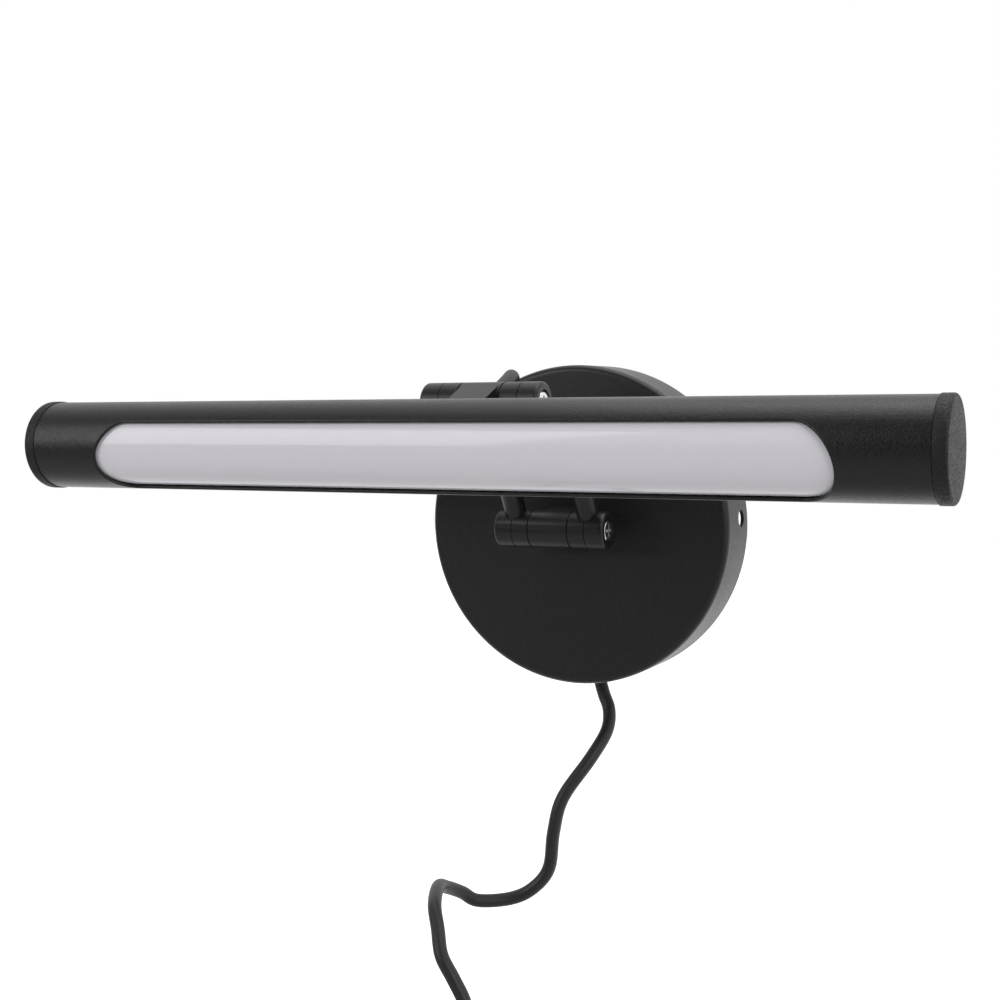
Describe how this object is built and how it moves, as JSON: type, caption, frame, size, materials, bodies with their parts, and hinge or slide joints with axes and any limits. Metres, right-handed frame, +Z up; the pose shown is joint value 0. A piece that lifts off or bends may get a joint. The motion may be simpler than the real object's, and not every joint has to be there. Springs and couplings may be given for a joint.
{
  "type": "picture light",
  "caption": "Wall-mounted tubular LED picture light on a two-rod swing arm with friction hinges, a round wall cup and a plug-in cord.",
  "frame": {"origin": "centre of the wall cup's open back, on the wall's surface", "axes": "+X to the right along the lamp tube, +Y into the wall, so the light faces -Y, and +Z up"},
  "size_m": [0.3132, 0.1438, 0.377],
  "materials": {
    "cup_paint": "matte",
    "hinge_paint": "satin",
    "tube_paint": "matte",
    "cap_paint": "matte",
    "screw_chrome": "polished",
    "zinc": "satin",
    "cord_black": "satin",
    "bush_black": "matte",
    "nylon_black": "satin",
    "plug_black": "satin",
    "pin_metal": "polished",
    "milky": "satin",
    "carrier_metal": "satin",
    "strip_white": "satin",
    "led_yellow": "gloss",
    "driver_white": "satin",
    "board_green": "satin",
    "foam_white": "matte",
    "wire_red": "satin",
    "washer_black": "matte"
  },
  "bodies": {
    "wall_cup": {"cup": "cup_paint", "wall_knuckle": "hinge_paint", "stud_washer": "zinc", "stud_nut": "zinc", "cable_grommet": "bush_black", "cord_strain_relief": "bush_black", "driver_pad": "foam_white", "driver_case": "driver_white", "driver_lid": "driver_white", "driver_board": "board_green", "wall_pivot_screws": "screw_chrome", "lamp_cable_wall_end": "cord_black", "mains_cord": "cord_black", "cord_coil": "cord_black", "coil_tie": "nylon_black", "cord_tail": "cord_black", "plug_body": "plug_black", "plug_pins": "pin_metal"},
    "arm": {"wall_friction_washers": "washer_black", "arm_rod_left": "hinge_paint", "arm_rod_right": "hinge_paint", "head_friction_washers": "washer_black", "wall_clamp_inner_left": "hinge_paint", "wall_clamp_inner_right": "hinge_paint", "wall_clamp_outer_left": "hinge_paint", "wall_clamp_outer_right": "hinge_paint", "head_clamp_inner_left": "hinge_paint", "head_clamp_inner_right": "hinge_paint", "head_clamp_outer_left": "hinge_paint", "head_clamp_outer_right": "hinge_paint"},
    "lamp_head": {"head_pivot_screws": "screw_chrome", "head_knuckle": "hinge_paint", "neck_screws": "zinc", "backing_plate": "zinc", "lamp_tube": "tube_paint", "end_cap_left": "cap_paint", "end_cap_right": "cap_paint", "diffuser": "milky", "led_carrier": "carrier_metal", "led_board": "strip_white", "led_chips": "led_yellow", "board_screws": "zinc", "led_wires": "wire_red", "lamp_cable_head_end": "cord_black"}
  },
  "joints": [
    {"name": "arm_pivot", "type": "hinge", "parent": "wall_cup", "child": "arm", "pos_m": [0, -0.042, 0], "axis": [1, 0, 0], "range_deg": [-50, 60], "deforming": ["lamp_cable_wall_end"]},
    {"name": "head_tilt", "type": "hinge", "parent": "arm", "child": "lamp_head", "pos_m": [0, -0.09763, 0.04586], "axis": [1, 0, 0], "range_deg": [-67.5, 67.5], "deforming": ["lamp_cable_head_end"]}
  ]
}
